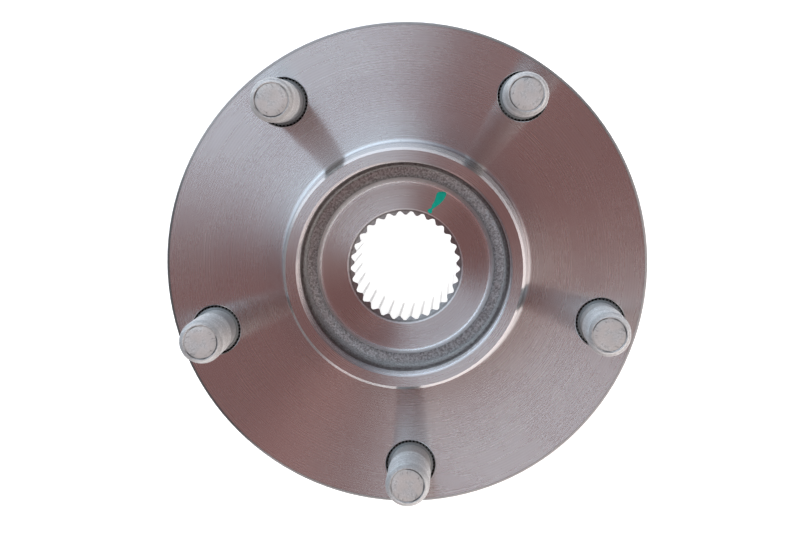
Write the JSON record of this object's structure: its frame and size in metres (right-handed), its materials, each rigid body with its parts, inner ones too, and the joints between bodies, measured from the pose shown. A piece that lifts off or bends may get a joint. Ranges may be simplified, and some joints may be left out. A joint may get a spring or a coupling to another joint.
{
  "type": "wheel hub bearing",
  "caption": "Driven wheel hub unit: a round studded wheel flange and splined spindle turn on two rows of balls in an outer ring with bolting ears.",
  "frame": {"origin": "centre of the face that the wheel and brake disc seat on", "axes": "+Z along the spindle axis towards the wheel, where the studs point; +X and +Y across it, with one stud on -Y"},
  "size_m": [0.1354, 0.1354, 0.094],
  "materials": {
    "machined_steel": "turned and ground forging steel",
    "bearing_steel": "ground hardened bearing steel",
    "forged_steel": "dark forged steel with turned seats",
    "stud_steel": "matte zinc flake on alloy steel",
    "seal_steel": "pressed stainless sheet",
    "seal_rubber": "black nitrile rubber",
    "encoder_rubber": "magnet-filled rubber",
    "cage_nylon": "glass-filled nylon"
  },
  "bodies": {
    "outer_ring": {"outer_ring": "forged_steel", "outboard_seal_case": "seal_steel", "outboard_seal_lips": "seal_rubber", "inboard_seal_case": "seal_steel", "inboard_seal_lips": "seal_rubber"},
    "hub": {"wheel_hub": "machined_steel", "inner_ring": "bearing_steel", "seal_slinger": "seal_steel", "encoder_ring": "encoder_rubber", "wheel_stud_1": "stud_steel", "wheel_stud_2": "stud_steel", "wheel_stud_3": "stud_steel", "wheel_stud_4": "stud_steel", "wheel_stud_5": "stud_steel"},
    "outboard_cage": {"outboard_cage": "cage_nylon"},
    "inboard_cage": {"inboard_cage": "cage_nylon"},
    "outboard_ball_01": {"outboard_ball_01": "bearing_steel"},
    "outboard_ball_02": {"outboard_ball_02": "bearing_steel"},
    "outboard_ball_03": {"outboard_ball_03": "bearing_steel"},
    "outboard_ball_04": {"outboard_ball_04": "bearing_steel"},
    "outboard_ball_05": {"outboard_ball_05": "bearing_steel"},
    "outboard_ball_06": {"outboard_ball_06": "bearing_steel"},
    "outboard_ball_07": {"outboard_ball_07": "bearing_steel"},
    "outboard_ball_08": {"outboard_ball_08": "bearing_steel"},
    "outboard_ball_09": {"outboard_ball_09": "bearing_steel"},
    "outboard_ball_10": {"outboard_ball_10": "bearing_steel"},
    "outboard_ball_11": {"outboard_ball_11": "bearing_steel"},
    "outboard_ball_12": {"outboard_ball_12": "bearing_steel"},
    "outboard_ball_13": {"outboard_ball_13": "bearing_steel"},
    "inboard_ball_01": {"inboard_ball_01": "bearing_steel"},
    "inboard_ball_02": {"inboard_ball_02": "bearing_steel"},
    "inboard_ball_03": {"inboard_ball_03": "bearing_steel"},
    "inboard_ball_04": {"inboard_ball_04": "bearing_steel"},
    "inboard_ball_05": {"inboard_ball_05": "bearing_steel"},
    "inboard_ball_06": {"inboard_ball_06": "bearing_steel"},
    "inboard_ball_07": {"inboard_ball_07": "bearing_steel"},
    "inboard_ball_08": {"inboard_ball_08": "bearing_steel"},
    "inboard_ball_09": {"inboard_ball_09": "bearing_steel"},
    "inboard_ball_10": {"inboard_ball_10": "bearing_steel"},
    "inboard_ball_11": {"inboard_ball_11": "bearing_steel"},
    "inboard_ball_12": {"inboard_ball_12": "bearing_steel"},
    "inboard_ball_13": {"inboard_ball_13": "bearing_steel"}
  },
  "joints": [
    {"name": "hub_spin", "type": "hinge", "parent": "outer_ring", "child": "hub", "pos_m": [0, 0, 0], "axis": [0, 0, 1], "continuous": true},
    {"name": "outboard_cage_spin", "type": "hinge", "parent": "outer_ring", "child": "outboard_cage", "pos_m": [0, 0, -0.028], "axis": [0, 0, 1], "continuous": true},
    {"name": "inboard_cage_spin", "type": "hinge", "parent": "outer_ring", "child": "inboard_cage", "pos_m": [0, 0, -0.047], "axis": [0, 0, 1], "continuous": true},
    {"name": "outboard_ball_01_spin", "type": "hinge", "parent": "outboard_cage", "child": "outboard_ball_01", "pos_m": [0, 0.031, -0.028], "axis": [0, 0.5878, 0.809], "continuous": true},
    {"name": "outboard_ball_02_spin", "type": "hinge", "parent": "outboard_cage", "child": "outboard_ball_02", "pos_m": [-0.01441, 0.02745, -0.028], "axis": [-0.2732, 0.5205, 0.809], "continuous": true},
    {"name": "outboard_ball_03_spin", "type": "hinge", "parent": "outboard_cage", "child": "outboard_ball_03", "pos_m": [-0.02551, 0.01761, -0.028], "axis": [-0.4837, 0.3339, 0.809], "continuous": true},
    {"name": "outboard_ball_04_spin", "type": "hinge", "parent": "outboard_cage", "child": "outboard_ball_04", "pos_m": [-0.03077, 0.00374, -0.028], "axis": [-0.5835, 0.0708, 0.809], "continuous": true},
    {"name": "outboard_ball_05_spin", "type": "hinge", "parent": "outboard_cage", "child": "outboard_ball_05", "pos_m": [-0.02899, -0.01099, -0.028], "axis": [-0.5496, -0.2084, 0.809], "continuous": true},
    {"name": "outboard_ball_06_spin", "type": "hinge", "parent": "outboard_cage", "child": "outboard_ball_06", "pos_m": [-0.02056, -0.0232, -0.028], "axis": [-0.3898, -0.44, 0.809], "continuous": true},
    {"name": "outboard_ball_07_spin", "type": "hinge", "parent": "outboard_cage", "child": "outboard_ball_07", "pos_m": [-0.00742, -0.0301, -0.028], "axis": [-0.1407, -0.5707, 0.809], "continuous": true},
    {"name": "outboard_ball_08_spin", "type": "hinge", "parent": "outboard_cage", "child": "outboard_ball_08", "pos_m": [0.00742, -0.0301, -0.028], "axis": [0.1407, -0.5707, 0.809], "continuous": true},
    {"name": "outboard_ball_09_spin", "type": "hinge", "parent": "outboard_cage", "child": "outboard_ball_09", "pos_m": [0.02056, -0.0232, -0.028], "axis": [0.3898, -0.44, 0.809], "continuous": true},
    {"name": "outboard_ball_10_spin", "type": "hinge", "parent": "outboard_cage", "child": "outboard_ball_10", "pos_m": [0.02899, -0.01099, -0.028], "axis": [0.5496, -0.2084, 0.809], "continuous": true},
    {"name": "outboard_ball_11_spin", "type": "hinge", "parent": "outboard_cage", "child": "outboard_ball_11", "pos_m": [0.03077, 0.00374, -0.028], "axis": [0.5835, 0.0708, 0.809], "continuous": true},
    {"name": "outboard_ball_12_spin", "type": "hinge", "parent": "outboard_cage", "child": "outboard_ball_12", "pos_m": [0.02551, 0.01761, -0.028], "axis": [0.4837, 0.3339, 0.809], "continuous": true},
    {"name": "outboard_ball_13_spin", "type": "hinge", "parent": "outboard_cage", "child": "outboard_ball_13", "pos_m": [0.01441, 0.02745, -0.028], "axis": [0.2732, 0.5205, 0.809], "continuous": true},
    {"name": "inboard_ball_01_spin", "type": "hinge", "parent": "inboard_cage", "child": "inboard_ball_01", "pos_m": [0, 0.031, -0.047], "axis": [0, -0.5878, 0.809], "continuous": true},
    {"name": "inboard_ball_02_spin", "type": "hinge", "parent": "inboard_cage", "child": "inboard_ball_02", "pos_m": [-0.01441, 0.02745, -0.047], "axis": [0.2732, -0.5205, 0.809], "continuous": true},
    {"name": "inboard_ball_03_spin", "type": "hinge", "parent": "inboard_cage", "child": "inboard_ball_03", "pos_m": [-0.02551, 0.01761, -0.047], "axis": [0.4837, -0.3339, 0.809], "continuous": true},
    {"name": "inboard_ball_04_spin", "type": "hinge", "parent": "inboard_cage", "child": "inboard_ball_04", "pos_m": [-0.03077, 0.00374, -0.047], "axis": [0.5835, -0.0708, 0.809], "continuous": true},
    {"name": "inboard_ball_05_spin", "type": "hinge", "parent": "inboard_cage", "child": "inboard_ball_05", "pos_m": [-0.02899, -0.01099, -0.047], "axis": [0.5496, 0.2084, 0.809], "continuous": true},
    {"name": "inboard_ball_06_spin", "type": "hinge", "parent": "inboard_cage", "child": "inboard_ball_06", "pos_m": [-0.02056, -0.0232, -0.047], "axis": [0.3898, 0.44, 0.809], "continuous": true},
    {"name": "inboard_ball_07_spin", "type": "hinge", "parent": "inboard_cage", "child": "inboard_ball_07", "pos_m": [-0.00742, -0.0301, -0.047], "axis": [0.1407, 0.5707, 0.809], "continuous": true},
    {"name": "inboard_ball_08_spin", "type": "hinge", "parent": "inboard_cage", "child": "inboard_ball_08", "pos_m": [0.00742, -0.0301, -0.047], "axis": [-0.1407, 0.5707, 0.809], "continuous": true},
    {"name": "inboard_ball_09_spin", "type": "hinge", "parent": "inboard_cage", "child": "inboard_ball_09", "pos_m": [0.02056, -0.0232, -0.047], "axis": [-0.3898, 0.44, 0.809], "continuous": true},
    {"name": "inboard_ball_10_spin", "type": "hinge", "parent": "inboard_cage", "child": "inboard_ball_10", "pos_m": [0.02899, -0.01099, -0.047], "axis": [-0.5496, 0.2084, 0.809], "continuous": true},
    {"name": "inboard_ball_11_spin", "type": "hinge", "parent": "inboard_cage", "child": "inboard_ball_11", "pos_m": [0.03077, 0.00374, -0.047], "axis": [-0.5835, -0.0708, 0.809], "continuous": true},
    {"name": "inboard_ball_12_spin", "type": "hinge", "parent": "inboard_cage", "child": "inboard_ball_12", "pos_m": [0.02551, 0.01761, -0.047], "axis": [-0.4837, -0.3339, 0.809], "continuous": true},
    {"name": "inboard_ball_13_spin", "type": "hinge", "parent": "inboard_cage", "child": "inboard_ball_13", "pos_m": [0.01441, 0.02745, -0.047], "axis": [-0.2732, -0.5205, 0.809], "continuous": true}
  ],
  "couplings": [
    {"joint": "outboard_cage_spin", "follows": "hub_spin", "ratio": 0.41714},
    {"joint": "inboard_cage_spin", "follows": "hub_spin", "ratio": 0.41714},
    {"joint": "outboard_ball_01_spin", "follows": "hub_spin", "ratio": -2.3739},
    {"joint": "outboard_ball_02_spin", "follows": "hub_spin", "ratio": -2.3739},
    {"joint": "outboard_ball_03_spin", "follows": "hub_spin", "ratio": -2.3739},
    {"joint": "outboard_ball_04_spin", "follows": "hub_spin", "ratio": -2.3739},
    {"joint": "outboard_ball_05_spin", "follows": "hub_spin", "ratio": -2.3739},
    {"joint": "outboard_ball_06_spin", "follows": "hub_spin", "ratio": -2.3739},
    {"joint": "outboard_ball_07_spin", "follows": "hub_spin", "ratio": -2.3739},
    {"joint": "outboard_ball_08_spin", "follows": "hub_spin", "ratio": -2.3739},
    {"joint": "outboard_ball_09_spin", "follows": "hub_spin", "ratio": -2.3739},
    {"joint": "outboard_ball_10_spin", "follows": "hub_spin", "ratio": -2.3739},
    {"joint": "outboard_ball_11_spin", "follows": "hub_spin", "ratio": -2.3739},
    {"joint": "outboard_ball_12_spin", "follows": "hub_spin", "ratio": -2.3739},
    {"joint": "outboard_ball_13_spin", "follows": "hub_spin", "ratio": -2.3739},
    {"joint": "inboard_ball_01_spin", "follows": "hub_spin", "ratio": -2.3739},
    {"joint": "inboard_ball_02_spin", "follows": "hub_spin", "ratio": -2.3739},
    {"joint": "inboard_ball_03_spin", "follows": "hub_spin", "ratio": -2.3739},
    {"joint": "inboard_ball_04_spin", "follows": "hub_spin", "ratio": -2.3739},
    {"joint": "inboard_ball_05_spin", "follows": "hub_spin", "ratio": -2.3739},
    {"joint": "inboard_ball_06_spin", "follows": "hub_spin", "ratio": -2.3739},
    {"joint": "inboard_ball_07_spin", "follows": "hub_spin", "ratio": -2.3739},
    {"joint": "inboard_ball_08_spin", "follows": "hub_spin", "ratio": -2.3739},
    {"joint": "inboard_ball_09_spin", "follows": "hub_spin", "ratio": -2.3739},
    {"joint": "inboard_ball_10_spin", "follows": "hub_spin", "ratio": -2.3739},
    {"joint": "inboard_ball_11_spin", "follows": "hub_spin", "ratio": -2.3739},
    {"joint": "inboard_ball_12_spin", "follows": "hub_spin", "ratio": -2.3739},
    {"joint": "inboard_ball_13_spin", "follows": "hub_spin", "ratio": -2.3739}
  ]
}
